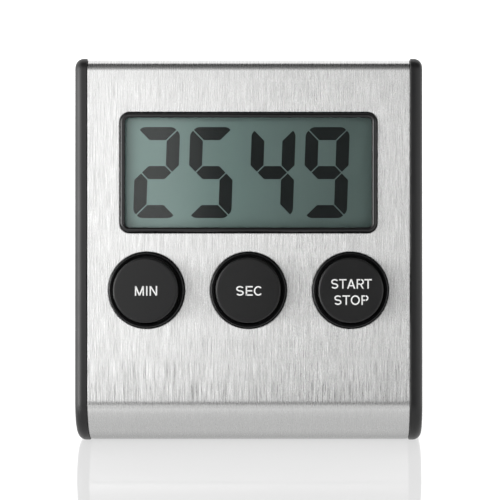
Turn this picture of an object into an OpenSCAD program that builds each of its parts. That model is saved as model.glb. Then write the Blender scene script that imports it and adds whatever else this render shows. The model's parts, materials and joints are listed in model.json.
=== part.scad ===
// Digital kitchen timer: a bent steel front between two plastic side panels.
// Millimetres, +Z up. The front faces -Y. The origin is the middle of the footprint.
// Inside on_face() the axes follow the leaning front: x across, y into the case, z up the face.

/* [Case] */
// Width over the two side panels
case_w = 65; // [62:0.5:75]
// Depth of the base, front to back
case_d = 28; // [27:0.5:34]
// Angle that the front leans back
lean = 12; // [8:1:14]
// Straight height of the steel front between its two bends
face_run = 62.1; // [60.5:0.1:66]
// Outer radius of the bend at the foot of the front
foot_r = 7.3; // [6:0.05:8]
// Outer radius of the bend at the top
top_r = 2; // [1.9:0.1:2.4]
// Thickness of the steel sheet
sheet_t = 0.5; // [0.4:0.1:0.6]
// Thickness of each side panel
panel_t = 2.35; // [2.2:0.05:3]
// How far the side panels stand proud of the steel all round
panel_lip = 0.2; // [0.1:0.05:0.3]
// Rounding of the outer edge of each side panel
panel_edge_r = 1.6; // [0.8:0.1:1.6]
// Thickness of the moulded rear wall
wall_t = 1.8; // [1.6:0.1:2]

/* [Display] */
// Outer width of the display bezel
bezel_w = 48.06; // [46:0.02:48.4]
// Outer height of the display bezel
bezel_h = 22.5; // [20:0.1:22.8]
// Corner radius of the bezel
bezel_r = 1.7; // [1:0.1:2.5]
// Width of the bezel rim, seen from the front
bezel_rim = 0.95; // [0.7:0.05:1.1]
// Height of the bezel rim above the steel
bezel_rise = 0.6; // [0.3:0.1:1]
// Height of the display's middle above the foot bend
display_z = 42.85; // [41.8:0.05:43.5]

/* [Buttons] */
// Diameter of each button cap
cap_d = 12; // [10:0.1:12]
// Bore of the collar that each cap moves in
collar_bore = 12.7; // [12.6:0.1:12.8]
// Outer diameter of the collar
collar_d = 14.2; // [13.8:0.1:14.6]
// Height of the collar above the steel
collar_rise = 0.8; // [0.4:0.1:1]
// Height of the cap's top above the steel
cap_rise = 3; // [2:0.1:3.4]
// Distance between neighbouring buttons
button_pitch = 19; // [18:0.1:19.5]
// Height of the buttons' middle above the foot bend
button_z = 20.9; // [20:0.1:21]
// Travel of each button
button_travel = 0.9; // [0.6:0.1:0.9]

/* [Battery] */
// Diameter of the AAA cell
cell_d = 10.5; // [10:0.1:10.5]
// Length of the AAA cell with its terminal
cell_len = 44.5; // [44:0.1:44.5]
// Thickness of the battery door
door_t = 1.6; // [1.4:0.1:1.7]

/* [Hidden] */
$fn = 96;
gap = 0.3;        // between pieces that move past each other
slip = 0.05;      // between pieces that are only assembled
over = 1;         // how far a cutting shape runs past what it cuts

// The profile's two bend centres, in Y and Z
rear_y = case_d / 2;
foot_y = -rear_y + panel_lip + foot_r;
foot_z = panel_lip + foot_r;
origin_y = foot_y - foot_r * cos(lean);
origin_z = foot_z + foot_r * sin(lean);
bend_y = origin_y + face_run * sin(lean) + top_r * cos(lean);
bend_z = origin_z + face_run * cos(lean) - top_r * sin(lean);
rear_corner_r = 1.8;
edge_steps = 4;
arc_step = 4;
shell_end_y = rear_y - wall_t - 0.2;
rear_in_y = rear_y - wall_t;
case_top = bend_z + top_r + foot_r;
top_return_y = 7.5;
return_t = 1.2;

// Widths across the case
panel_in_x = case_w / 2 - panel_t;
shell_half_w = panel_in_x - slip;
frame_half_w = panel_in_x - 1.15;
rim_x = panel_in_x - 0.9;

// Depths behind the steel's outer face
frame_back = 2;
lens_front = 1;
polariser_front = 2.1;
glass_t = 0.75;
film_t = 0.2;
cell_front = polariser_front + film_t;
ledge_back = cell_front + glass_t;
cell_back = ledge_back + glass_t;
board_front = 6.5;
board_t = 1.2;
board_back = board_front + board_t;

// Display stack
window_w = bezel_w - 2 * bezel_rim;
window_h = bezel_h - 2 * bezel_rim;
lens_w = window_w + 1.2;
lens_h = window_h + 1.2;
glass_w = 48;
glass_h = 25;
rear_glass_h = 21;
zebra_h = 1.8;
zebra_w = 46;
retainer_w = 49.5;
retainer_h = 27;

// Circuit board, in face coordinates
board_w = 49.6;
board_low = 8.5;
board_high = 57.5;
board_screw_x = 22.5;
board_screw_z = 11;
hook_x = 12;

// Button stack
cap_edge_r = 0.45;
flange_d = 13.6;
flange_front = frame_back + 0.1;
flange_t = 0.8;
flange_flat = 5.9;
dome_top = 3.9;
dome_t = 0.78;
mat_t = 0.8;
mat_front = board_front - mat_t;
mat_w = 48;
mat_h = 13.8;
dome_r = 3.2;
pill_r = 1.25;
pill_front = dome_top + dome_t + 0.02;
pill_back = board_front - button_travel - 0.1;

// Case screws run along Y: [x, z, y of the joint between their two bosses]
screw_x = 27;
screw_rows = [[19, 2], [58, 5]];
screw_d = 2;
screw_head_d = 3.8;
screw_head_h = 1.4;
screw_seat = 1.6;
screw_grip = 5;

// Panel pins: on the frame [up the face, into the case], on the rear cover [y, z]
pin_d = 1.8;
frame_pins = [[22, 4], [56.5, 4]];
rear_pins = [[10.2, 30], [10.2, 45]];
socket = 3.6;
socket_x = 26.2;

// Battery bay and door
cell_y = 6.7;
cell_z = 8;
nub_d = 3.8;
nub_len = 1;
bay_half_w = 24.2;
bay_wall = 1.3;
bay_front_y = 0.7;
bay_floor_z = 1.95;
bay_roof_z = 13.7;
door_low_z = 2.5;
door_half_w = 23.7;
door_high_z = bay_roof_z - gap;
hinge_r = door_t / 2;
hinge_y = rear_y - hinge_r;
hinge_z = door_low_z + gap + hinge_r;
hinge_pin_d = 1;
hinge_pin_len = 1.2;
contact_t = 0.3;
tab_y = 3;
tab_w = 2;

// Sounder and magnets on the rear wall
sounder_z = 33;
sounder_d = 20;
magnet_x = 18;
magnet_z = 56;
magnet_d = 12;
magnet_t = 2.5;
magnet_cover = 0.9;

// Leads: each is one cubic curve through the air, given by its four control points
positive_route = [[23.9, 4, 17], [23.9, 4, 20], [22, 1, 22], [22, -1.9, 22.6]];
negative_route = [[-23.9, 4, 17], [-23.9, 4, 20], [-22, 1, 22], [-22, -1.9, 22.6]];
sounder_route_a = [[4, 9.6, 35], [4, 6, 36], [8, 3, 29.2], [8, 0, 28.6]];
sounder_route_b = [[-8.6, 9.8, 33], [-9, 6, 33.5], [-8, 3, 29.2], [-8, 0, 28.6]];
lead_d = 0.9;
lead_steps = 12;
lead_sides = 8;

// ---- helpers ----

// Moves face coordinates to the case's own
module on_face() {
    translate([0, origin_y, origin_z])
        rotate([-lean, 0, 0])
            children();
}

// Extrudes an outline drawn as seen from the front, between two depths behind the face
module slab(front, back) {
    translate([0, back, 0])
        rotate([90, 0, 0])
            linear_extrude(back - front)
                children();
}

// A round bar square to the face, between two depths
module face_rod(x, z, front, back, d) {
    translate([x, back, z])
        rotate([90, 0, 0])
            cylinder(d = d, h = back - front);
}

// A bar along X
module x_rod(x0, x1, y, z, d) {
    translate([x0, y, z])
        rotate([0, 90, 0])
            cylinder(d = d, h = x1 - x0);
}

// A bar along Y
module y_rod(y0, y1, x, z, d) {
    translate([x, y1, z])
        rotate([90, 0, 0])
            cylinder(d = d, h = y1 - y0);
}

// Extrudes an outline drawn in Y and Z across the case
module across(x0, x1) {
    translate([x0, 0, 0])
        rotate([90, 0, 90])
            linear_extrude(x1 - x0)
                children();
}

module block(low, high) {
    translate(low)
        cube(high - low);
}

module rounded_rect(w, h, r) {
    square([w - 2 * r, h], center = true);
    square([w, h - 2 * r], center = true);
    for (x = [-1, 1], y = [-1, 1])
        translate([x * (w / 2 - r), y * (h / 2 - r)])
            circle(r);
}

// The side profile in Y and Z, grown all round by g: the centre [y, z] and radius of each corner
function corner_r(g) = max(rear_corner_r - panel_lip + g, 0.2);
function foot_corner(g) = [foot_y, foot_z, foot_r + g];
function top_corner(g) = [bend_y, bend_z, top_r + g];
function heel_corner(g, back_y) =
    [back_y - corner_r(g), foot_z - foot_r - g + corner_r(g), corner_r(g)];
function crown_corner(g, back_y) =
    let (r = corner_r(g), y = back_y - r)
    [y, bend_z + (top_r + g - r - (y - bend_y) * sin(lean)) / cos(lean), r];
function corners(g, back_y) =
    [foot_corner(g), heel_corner(g, back_y), crown_corner(g, back_y), top_corner(g)];
// Where the outline's normal points at the start and end of each corner, from +Y towards +Z
corner_angles = [[180 - lean, 270], [270, 360], [0, 90 - lean], [90 - lean, 180 - lean]];
function arc(c, angles) =
    let (steps = ceil((angles[1] - angles[0]) / arc_step))
    [for (i = [0 : steps])
        let (a = angles[0] + (angles[1] - angles[0]) * i / steps)
        [c[0] + c[2] * cos(a), c[1] + c[2] * sin(a)]];

module side_outline(g, back_y) {
    c = corners(g, back_y);
    polygon([for (i = [0 : 3]) each arc(c[i], corner_angles[i])]);
}

// A strip of the given thickness inside the profile grown by g, between two [y, z] corners
module profile_strip(g, thickness, low, high) {
    intersection() {
        difference() {
            side_outline(g, rear_y + 3 * wall_t);
            side_outline(g - thickness, rear_y + 3 * wall_t + over);
        }
        translate(low)
            square(high - low);
    }
}

// A round tube swept along points that don't run parallel to X
function tangent(pts, i) =
    let (a = pts[max(i - 1, 0)], b = pts[min(i + 1, len(pts) - 1)])
    (b - a) / norm(b - a);
function tube_ring(pts, i, r, sides) =
    let (t = tangent(pts, i), c = cross(t, [1, 0, 0]), u = c / norm(c), v = cross(t, u))
    [for (k = [0 : sides - 1]) pts[i] + r * (cos(360 * k / sides) * u + sin(360 * k / sides) * v)];

module tube(pts, d, sides) {
    last = len(pts) - 1;
    polyhedron(
        points = [for (i = [0 : last]) each tube_ring(pts, i, d / 2, sides)],
        faces = concat(
            [[for (k = [0 : sides - 1]) k]],
            [for (i = [0 : last - 1], k = [0 : sides - 1])
                let (n = (k + 1) % sides)
                [i * sides + k, (i + 1) * sides + k, (i + 1) * sides + n, i * sides + n]],
            [[for (k = [sides - 1 : -1 : 0]) last * sides + k]]
        )
    );
}

// Points on the smooth cubic curve that leaves a towards b and reaches d from c
function curve(a, b, c, d, steps) = [
    for (i = [0 : steps])
        let (t = i / steps, s = 1 - t)
        s * s * s * a + 3 * s * s * t * b + 3 * s * t * t * c + t * t * t * d
];

// ---- case ----

module front_shell() {
    color("silver")
        difference() {
            across(-shell_half_w, shell_half_w)
                profile_strip(0, sheet_t, [-rear_y, 0], [shell_end_y, case_top]);
            on_face() {
                slab(-over, over)
                    translate([0, display_z])
                        rounded_rect(bezel_w + 2 * slip, bezel_h + 2 * slip, bezel_r + slip);
                for (i = [-1 : 1])
                    face_rod(i * button_pitch, button_z, -over, over, collar_d + 2 * slip);
            }
        }
}

// The right side panel: outer plate with a stepped round edge, locating rim and four pins
module side_panel() {
    for (i = [0 : edge_steps]) {
        inset = panel_edge_r * (1 - cos(90 * i / (edge_steps + 1)));
        x = case_w / 2 - panel_edge_r * (1 - sin(90 * (i + 1) / (edge_steps + 1)));
        across(panel_in_x, x)
            side_outline(panel_lip - inset, rear_y - inset);
    }
    across(rim_x, panel_in_x)
        profile_strip(-sheet_t - slip, 0.9, [-rear_y, 0], [shell_end_y - 0.4, case_top]);
    on_face()
        for (p = frame_pins)
            x_rod(socket_x + 0.4, panel_in_x, p[1], p[0], pin_d - 0.04);
    for (p = rear_pins)
        x_rod(socket_x + 0.4, panel_in_x, p[0], p[1], pin_d - 0.04);
}

module right_side_panel() {
    color("#3a3a3c") side_panel();
}

module left_side_panel() {
    color("#3a3a3c") mirror([1, 0, 0]) side_panel();
}

// Moulded frame behind the steel: bezel rim, collars, bosses, hooks and sockets
module front_frame() {
    color("#202022")
        difference() {
            union() {
                on_face() {
                    block([-frame_half_w, sheet_t, 3.5], [frame_half_w, frame_back, 59.5]);
                    slab(-bezel_rise, sheet_t)
                        translate([0, display_z]) rounded_rect(bezel_w, bezel_h, bezel_r);
                    for (i = [-1 : 1]) {
                        face_rod(i * button_pitch, button_z, -collar_rise, sheet_t, collar_d);
                        translate([i * button_pitch, 0, button_z - flange_flat])
                            block([-3, frame_back, -gap - 1], [3, frame_back + 1.9, -gap]);
                    }
                    for (side = [-1, 1]) {
                        face_rod(side * board_screw_x, board_screw_z, frame_back, board_front, 4.2);
                        translate([side * hook_x, 0, board_high]) {
                            block([-2, frame_back - 0.5, 0.1], [2, board_back + 1, 1.3]);
                            block([-2, board_back + 0.1, -0.6], [2, board_back + 1, 0.2]);
                        }
                        for (p = frame_pins)
                            translate([side * (socket_x + frame_half_w) / 2, 0, p[0]])
                                block(
                                    [-(frame_half_w - socket_x) / 2, sheet_t, -socket / 2],
                                    [(frame_half_w - socket_x) / 2, p[1] + socket / 2, socket / 2]
                                );
                    }
                }
                for (side = [-1, 1], row = screw_rows)
                    y_rod(frame_boss_y(row[0]), row[1], side * screw_x, row[0], 4);
            }
            on_face() {
                slab(-over - bezel_rise, lens_front + slip)
                    translate([0, display_z]) rounded_rect(window_w, window_h, bezel_r - bezel_rim);
                slab(lens_front, frame_back + over)
                    translate([0, display_z])
                        square([lens_w + 2 * slip, lens_h + 2 * slip], center = true);
                for (i = [-1 : 1])
                    face_rod(i * button_pitch, button_z, -over - collar_rise, frame_back + over,
                        collar_bore);
                for (side = [-1, 1])
                    face_rod(side * board_screw_x, board_screw_z, 3, board_front + over, 1.6);
                for (side = [0, 1], p = frame_pins)
                    mirror([side, 0, 0]) x_rod(socket_x - over, panel_in_x, p[1], p[0], pin_d);
            }
            for (side = [-1, 1], row = screw_rows)
                y_rod(row[1] - screw_grip - 0.5, row[1] + over, side * screw_x, row[0], screw_d - 0.2);
        }
}

// Where a boss along Y starts, inside the leaning frame plate
function frame_boss_y(z) = origin_y + (z - origin_z) * tan(lean) + 1 / cos(lean);

// ---- display ----

module display_window() {
    color([0.8, 0.85, 0.85, 0.4])
        on_face()
            slab(lens_front, frame_back)
                translate([0, display_z]) square([lens_w, lens_h], center = true);
}

module lcd_front_polariser() {
    color("#8a9690")
        on_face()
            slab(polariser_front, cell_front)
                translate([0, display_z]) square([lens_w, lens_h], center = true);
}

// Two glass plates: the front one is taller, and its ledges carry the contacts
module lcd_cell() {
    color("#a8b4ae")
        on_face() {
            slab(cell_front, ledge_back)
                translate([0, display_z]) square([glass_w, glass_h], center = true);
            slab(ledge_back, cell_back)
                translate([0, display_z]) square([glass_w, rear_glass_h], center = true);
        }
}

module lcd_reflector() {
    color("#b9bfbd")
        on_face()
            slab(cell_back, cell_back + film_t)
                translate([0, display_z]) square([glass_w - 1, rear_glass_h - 0.4], center = true);
}

module lcd_retainer() {
    color("white")
        on_face()
            slab(frame_back, board_front)
                translate([0, display_z])
                    difference() {
                        square([retainer_w, retainer_h], center = true);
                        square([glass_w + 0.2, glass_h + 0.2], center = true);
                    }
}

module zebra_strip(side) {
    color("#4c4a52")
        on_face()
            slab(ledge_back, board_front)
                translate([0, display_z + side * (rear_glass_h / 2 + 0.2 + zebra_h / 2)])
                    square([zebra_w, zebra_h], center = true);
}

module upper_zebra_strip() {
    zebra_strip(1);
}

module lower_zebra_strip() {
    zebra_strip(-1);
}

// ---- electronics ----

module circuit_board() {
    color("#2f6b3a")
        on_face()
            difference() {
                block([-board_w / 2, board_front, board_low], [board_w / 2, board_back, board_high]);
                for (side = [-1, 1])
                    face_rod(side * board_screw_x, board_screw_z, 0, 2 * board_back, 2.2);
            }
}

// Epoxy drop over the timer chip, on the back of the board
module chip_on_board() {
    color("#141416")
        on_face()
            translate([0, board_back, 34])
                rotate([-90, 0, 0])
                    intersection() {
                        translate([0, 0, -18]) sphere(19.3);
                        cylinder(r = 6, h = 2);
                    }
}

module quartz_crystal() {
    color("silver")
        on_face()
            x_rod(9, 15, board_back + 1, 40, 2);
}

module chip_resistors() {
    color("#303034")
        on_face()
            for (i = [0 : 5])
                translate([-18 + 3 * i, board_back, 45])
                    block([-0.6, 0, -1], [0.6, 0.5, 1]);
}

module chip_capacitors() {
    color("#b08a5a")
        on_face()
            for (i = [0 : 3])
                translate([6 + 3 * i, board_back, 45])
                    block([-0.6, 0, -1], [0.6, 0.8, 1]);
}

module driver_transistor() {
    color("#1c1c1e")
        on_face()
            translate([-14, board_back, 26])
                block([-1.5, 0, -0.7], [1.5, 1, 0.7]);
}

// Coil that raises the sounder's drive voltage
module boost_coil() {
    color("#8c4a2a")
        on_face() {
            face_rod(14, 26, board_back, board_back + 0.8, 5);
            face_rod(14, 26, board_back + 0.8, board_back + 2.4, 4);
            face_rod(14, 26, board_back + 2.4, board_back + 3.2, 5);
        }
}

module board_screws() {
    color("#9a9a9e")
        on_face()
            for (side = [-1, 1])
                difference() {
                    union() {
                        face_rod(side * board_screw_x, board_screw_z, 3.4, board_back, 1.8);
                        face_rod(side * board_screw_x, board_screw_z, board_back,
                            board_back + 1.2, 3.6);
                    }
                    screw_cross(side * board_screw_x, board_back + 1.2, board_screw_z, 1.8);
                }
}

// The cross recess of a screw whose head ends at depth y
module screw_cross(x, y, z, size) {
    translate([x, y, z]) {
        block([-size / 2, -0.6, -0.2], [size / 2, over, 0.2]);
        block([-0.2, -0.6, -size / 2], [0.2, over, size / 2]);
    }
}

// ---- buttons ----

module keypad_mat() {
    color("#6a6a70")
        on_face()
            slab(mat_front, board_front)
                difference() {
                    translate([0, button_z]) square([mat_w, mat_h], center = true);
                    for (i = [-1 : 1])
                        translate([i * button_pitch, button_z]) circle(dome_r);
                    for (side = [-1, 1])
                        translate([side * button_pitch / 2, button_z]) circle(1);
                }
}

// Silicone dome that returns one button
module key_dome(i) {
    color("#77777d")
        on_face()
            translate([i * button_pitch, board_front, button_z])
                rotate([90, 0, 0])
                    rotate_extrude()
                        polygon([
                            [0, board_front - dome_top],
                            [2, board_front - dome_top],
                            [dome_r - 0.02, mat_t],
                            [dome_r - 0.02, 0.02],
                            [dome_r - 0.6, 0.02],
                            [dome_r - 0.6, mat_t],
                            [1.7, board_front - dome_top - dome_t],
                            [0, board_front - dome_top - dome_t]
                        ]);
}

module min_key_dome() {
    key_dome(-1);
}

module sec_key_dome() {
    key_dome(0);
}

module start_key_dome() {
    key_dome(1);
}

// Carbon pill that closes the contact under one button
module contact_pill(i) {
    color("#111111")
        on_face()
            face_rod(i * button_pitch, button_z, pill_front, pill_back, 2 * pill_r);
}

module min_contact_pill() {
    contact_pill(-1);
}

module sec_contact_pill() {
    contact_pill(0);
}

module start_contact_pill() {
    contact_pill(1);
}

// Hollow cap with a rounded front edge, a retaining flange and a stem
module button(i) {
    color("#2b2b2d")
        on_face()
            translate([i * button_pitch, 0, button_z])
                rotate([90, 0, 0])
                    difference() {
                        union() {
                            rotate_extrude() {
                                translate([0, -flange_front])
                                    square([cap_d / 2, flange_front + cap_rise - cap_edge_r]);
                                square([cap_d / 2 - cap_edge_r, cap_rise]);
                                translate([cap_d / 2 - cap_edge_r, cap_rise - cap_edge_r])
                                    circle(cap_edge_r);
                            }
                            difference() {
                                translate([0, 0, -flange_front - flange_t])
                                    cylinder(d = flange_d, h = flange_t + 0.01);
                                translate([-flange_d, -flange_d - flange_flat, -flange_d])
                                    cube([2 * flange_d, flange_d, 2 * flange_d]);
                            }
                        }
                        translate([0, 0, -flange_front - flange_t - over])
                            difference() {
                                cylinder(r = cap_d / 2 - 1.2, h = cap_rise + flange_front + flange_t + over - 1.2);
                                cylinder(r = 2, h = 2 * case_d);
                            }
                    }
    color("#2b2b2d")
        on_face()
            face_rod(i * button_pitch, button_z, flange_front, dome_top - 0.05, 4);
}

module min_button() {
    button(-1);
}

module sec_button() {
    button(0);
}

module start_button() {
    button(1);
}

// ---- rear cover, battery and door ----

module rear_cover() {
    color("#3a3a3c")
        difference() {
            union() {
                across(-shell_half_w, shell_half_w)
                    intersection() {
                        side_outline(0, rear_y);
                        translate([shell_end_y + 0.1, 0]) square([case_d, case_top]);
                    }
                across(-rim_x + 0.1, rim_x - 0.1)
                    for (low = [[top_return_y, bend_z / 2], [bay_front_y - bay_wall, 0]])
                        profile_strip(-sheet_t - slip, return_t, low,
                            [shell_end_y + 0.2, low[1] + bend_z / 2 + foot_r]);
                block([-bay_half_w - bay_wall, bay_front_y - bay_wall, sheet_t + panel_lip + 2 * slip],
                    [bay_half_w + bay_wall, rear_in_y + 0.1, bay_roof_z + bay_wall]);
                for (side = [-1, 1]) {
                    for (row = screw_rows)
                        y_rod(row[1], rear_in_y + 0.1, side * screw_x, row[0], 5.2);
                    y_rod(rear_in_y - 1.7, rear_in_y + 0.1, side * magnet_x, magnet_z, magnet_d + 2);
                    for (p = rear_pins)
                        translate([side * (socket_x + rim_x) / 2, 0, p[1]])
                            block([-(rim_x - socket_x) / 2, p[0] - socket / 2, -socket / 2],
                                [(rim_x - socket_x) / 2, rear_in_y + 0.1, socket / 2]);
                }
                y_rod(rear_in_y - 1.5, rear_in_y + 0.1, 0, sounder_z, sounder_d + 1.6);
            }
            // battery bay, its opening and the finger notch above the door
            block([-bay_half_w, bay_front_y, bay_floor_z], [bay_half_w, rear_in_y - 0.2, bay_roof_z]);
            block([-door_half_w - gap, rear_in_y - over, door_low_z],
                [door_half_w + gap, rear_y + over, bay_roof_z]);
            translate([0, rear_y + 3.2, bay_roof_z]) sphere(4.4);
            for (side = [-1, 1])
                block([side * (bay_half_w - 0.6) - 0.6, tab_y, bay_roof_z - over],
                    [side * (bay_half_w - 0.6) + 0.6, tab_y + tab_w + 0.4, bay_roof_z + 2 * bay_wall]);
            // hinge bores
            x_rod(-door_half_w - gap - hinge_pin_len, door_half_w + gap + hinge_pin_len,
                hinge_y, hinge_z, hinge_pin_d + 0.1);
            // case screws
            for (side = [-1, 1], row = screw_rows) {
                y_rod(row[1] - over, rear_y, side * screw_x, row[0], screw_d + 0.3);
                y_rod(row[1] + screw_seat, rear_y + over, side * screw_x, row[0], screw_head_d + 0.4);
            }
            // magnet pockets
            for (side = [-1, 1])
                y_rod(0, rear_y - magnet_cover, side * magnet_x, magnet_z, magnet_d + 0.1);
            // sounder chamber and sound holes
            y_rod(0, rear_in_y, 0, sounder_z, sounder_d - 1.6);
            y_rod(rear_in_y - over, rear_y + over, 0, sounder_z, 1.2);
            for (a = [0 : 60 : 300])
                y_rod(rear_in_y - over, rear_y + over, 3.2 * cos(a), sounder_z + 3.2 * sin(a), 1.2);
            for (side = [0, 1], p = rear_pins)
                mirror([side, 0, 0]) x_rod(socket_x - over, panel_in_x, p[0], p[1], pin_d);
        }
}

// Door on two moulded pins at its lower edge
module battery_door() {
    color("#3a3a3c") {
        block([-door_half_w, rear_y - door_t, hinge_z], [door_half_w, rear_y, door_high_z]);
        x_rod(-door_half_w, door_half_w, hinge_y, hinge_z, door_t);
        x_rod(-door_half_w - hinge_pin_len, door_half_w + hinge_pin_len, hinge_y, hinge_z,
            hinge_pin_d);
    }
}

module battery() {
    tip_x = bay_half_w - contact_t - 0.02;
    color("#c8752a") {
        x_rod(tip_x - cell_len, tip_x - nub_len, cell_y, cell_z, cell_d);
        x_rod(tip_x - nub_len, tip_x, cell_y, cell_z, nub_d);
    }
}

// Spring-steel plate at one end of the bay, with a tab up through the roof
module contact_plate(side) {
    x = side * (bay_half_w - contact_t / 2);
    block([x - contact_t / 2, tab_y, 3.6], [x + contact_t / 2, 10.6, 12.6]);
    block([x - contact_t / 2, tab_y, 12.5], [x + contact_t / 2, tab_y + tab_w, 17]);
}

module positive_contact() {
    color("#c8c8c4") contact_plate(1);
}

module negative_contact() {
    color("#c8c8c4") contact_plate(-1);
}

// Conical coil spring, swept along a helix
spring_turns = 3.5;
spring_wire = 0.5;
spring_steps = 56;
spring_x0 = -bay_half_w + contact_t + spring_wire / 2 + 0.02;
spring_x1 = bay_half_w - contact_t - cell_len - 0.04 - spring_wire / 2;
spring_points = [
    for (i = [0 : spring_steps])
        let (t = i / spring_steps, r = 3.6 - 1.4 * t, a = 360 * spring_turns * t)
        [spring_x0 + (spring_x1 - spring_x0) * t, cell_y + r * cos(a), cell_z + r * sin(a)]
];

module contact_spring() {
    color("#d0d0cc") tube(spring_points, spring_wire, lead_sides);
}

module lead(route) {
    tube(curve(route[0], route[1], route[2], route[3], lead_steps), lead_d, lead_sides);
}

module positive_lead() {
    color("#b02020") lead(positive_route);
}

module negative_lead() {
    color("#151515") lead(negative_route);
}

// ---- sounder, magnets and screws ----

module sounder_plate() {
    color("#c9a648")
        y_rod(rear_in_y - 1.7, rear_in_y - 1.5, 0, sounder_z, sounder_d);
}

module sounder_ceramic() {
    color("#d8d4c8")
        y_rod(rear_in_y - 1.95, rear_in_y - 1.7, 0, sounder_z, 14);
}

module sounder_leads() {
    color("#c03030") {
        lead(sounder_route_a);
        lead(sounder_route_b);
    }
}

module magnet(side) {
    color("#8a8a90")
        y_rod(rear_y - magnet_cover - magnet_t, rear_y - magnet_cover, side * magnet_x, magnet_z,
            magnet_d);
}

module left_magnet() {
    magnet(-1);
}

module right_magnet() {
    magnet(1);
}

module case_screws() {
    color("#9a9a9e")
        for (side = [-1, 1], row = screw_rows)
            difference() {
                union() {
                    y_rod(row[1] - screw_grip, row[1] + screw_seat, side * screw_x, row[0], screw_d);
                    y_rod(row[1] + screw_seat, row[1] + screw_seat + screw_head_h, side * screw_x,
                        row[0], screw_head_d);
                }
                screw_cross(side * screw_x, row[1] + screw_seat + screw_head_h, row[0], 2.2);
            }
}

front_shell();
left_side_panel();
right_side_panel();
front_frame();
display_window();
lcd_front_polariser();
lcd_cell();
lcd_reflector();
lcd_retainer();
upper_zebra_strip();
lower_zebra_strip();
circuit_board();
chip_on_board();
quartz_crystal();
chip_resistors();
chip_capacitors();
driver_transistor();
boost_coil();
board_screws();
keypad_mat();
min_key_dome();
sec_key_dome();
start_key_dome();
min_contact_pill();
sec_contact_pill();
start_contact_pill();
min_button();
sec_button();
start_button();
rear_cover();
battery_door();
battery();
positive_contact();
negative_contact();
contact_spring();
positive_lead();
negative_lead();
sounder_plate();
sounder_ceramic();
sounder_leads();
left_magnet();
right_magnet();
case_screws();
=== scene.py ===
"""A digital kitchen timer with a brushed steel front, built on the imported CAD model."""
import json
import math

import bmesh
import bpy
from mathutils import Matrix, Vector


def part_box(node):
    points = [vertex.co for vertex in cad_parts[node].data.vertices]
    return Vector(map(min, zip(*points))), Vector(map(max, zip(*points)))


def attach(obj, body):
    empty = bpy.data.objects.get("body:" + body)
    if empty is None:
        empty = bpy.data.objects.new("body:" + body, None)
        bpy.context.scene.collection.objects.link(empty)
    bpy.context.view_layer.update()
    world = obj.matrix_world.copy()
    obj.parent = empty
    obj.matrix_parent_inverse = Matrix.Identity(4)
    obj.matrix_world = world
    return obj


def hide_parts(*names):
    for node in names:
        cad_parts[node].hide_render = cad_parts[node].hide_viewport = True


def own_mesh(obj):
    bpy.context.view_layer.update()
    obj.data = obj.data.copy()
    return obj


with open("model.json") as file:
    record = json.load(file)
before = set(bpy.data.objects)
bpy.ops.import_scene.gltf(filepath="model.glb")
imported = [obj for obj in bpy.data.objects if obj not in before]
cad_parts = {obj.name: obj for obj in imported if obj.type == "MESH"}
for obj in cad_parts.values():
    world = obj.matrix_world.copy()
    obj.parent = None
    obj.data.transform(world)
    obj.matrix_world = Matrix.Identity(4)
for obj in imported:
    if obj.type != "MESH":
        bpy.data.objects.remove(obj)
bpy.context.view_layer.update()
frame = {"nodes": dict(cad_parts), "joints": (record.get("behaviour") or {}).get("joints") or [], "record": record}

MM = 0.001

# ---------------------------------------------------------------- measures from the frame

# Bends, sheet and edges, as the CAD model has them
FOOT_R = 7.3 * MM
TOP_R = 2.0 * MM
SHEET_T = 0.5 * MM
PANEL_LIP = 0.2 * MM
PANEL_EDGE_R = 1.6 * MM
PANEL_T = 2.35 * MM
REAR_CORNER_R = 1.8 * MM
# The face rolls over gently into the foot's bend
SHOULDER_R = 12 * MM
SHOULDER_TURN = math.radians(5)
# ... and a little wider over the top than the CAD sheet
TOP_BEND_R = 2.3 * MM

shell_low, shell_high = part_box("front_shell")
panel_low, panel_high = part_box("right_side_panel")
press_joint = next(j for j in frame["joints"] if j["name"] == "sec_press")

# Directions of the leaning front: across it, straight into the case, up it and out of it
ACROSS = Vector((1, 0, 0))
INWARD = Vector(press_joint["axis"]).normalized()
UP = Vector((0, -INWARD.z, INWARD.y))
OUTWARD = -INWARD
LEAN = math.atan2(UP.y, UP.z)

# The face is flat from FACE_LOW for FACE_RUN, between the foot's bend and the top's
FOOT_C = Vector((0, shell_low.y + FOOT_R, shell_low.z + FOOT_R))
FACE_LOW = FOOT_C + FOOT_R * OUTWARD
FACE_RUN = (shell_high.z - TOP_R - FACE_LOW.z - TOP_R * INWARD.z) / UP.z
TOP_C = FACE_LOW + FACE_RUN * UP + TOP_R * INWARD
SHELL_END_Y = shell_high.y
SHELL_HALF_W = shell_high.x
REAR_Y = panel_high.y

# Local axes of a piece on the front: x across, y up the face, z out of it
FACE = Matrix.Translation(FACE_LOW) @ Matrix((ACROSS, UP, OUTWARD)).transposed().to_4x4()


def middle(node):
    """The middle of a CAD node, in the front's own axes."""
    low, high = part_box(node)
    return FACE.inverted() @ ((low + high) / 2)


KEYS = ("min", "sec", "start")
BUTTON_AT = {key: middle(key + "_contact_pill").xy for key in KEYS}
DISPLAY_AT = middle("display_window").xy

# Display and buttons
BEZEL_W = 47.74 * MM
BEZEL_H = 22.18 * MM
BEZEL_R = 1.7 * MM
BEZEL_RIM = 0.85 * MM
BEZEL_RISE = 0.6 * MM
BEZEL_WALL = 0.2 * MM
COLLAR_R = 6.96 * MM
COLLAR_BORE_R = 6.35 * MM
COLLAR_RISE = 0.8 * MM
COLLAR_DROP = 0.25 * MM
COLLAR_EDGE_R = 0.14 * MM
CAP_R = 6.0 * MM
CAP_RISE = 3.0 * MM
# Room between the steel and what stands through it
SLACK = 0.16 * MM
# The digits lie between the window's back and the polariser's front
DIGIT_DEPTH = 2.07 * MM

# ---------------------------------------------------------------- mesh helpers


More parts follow.
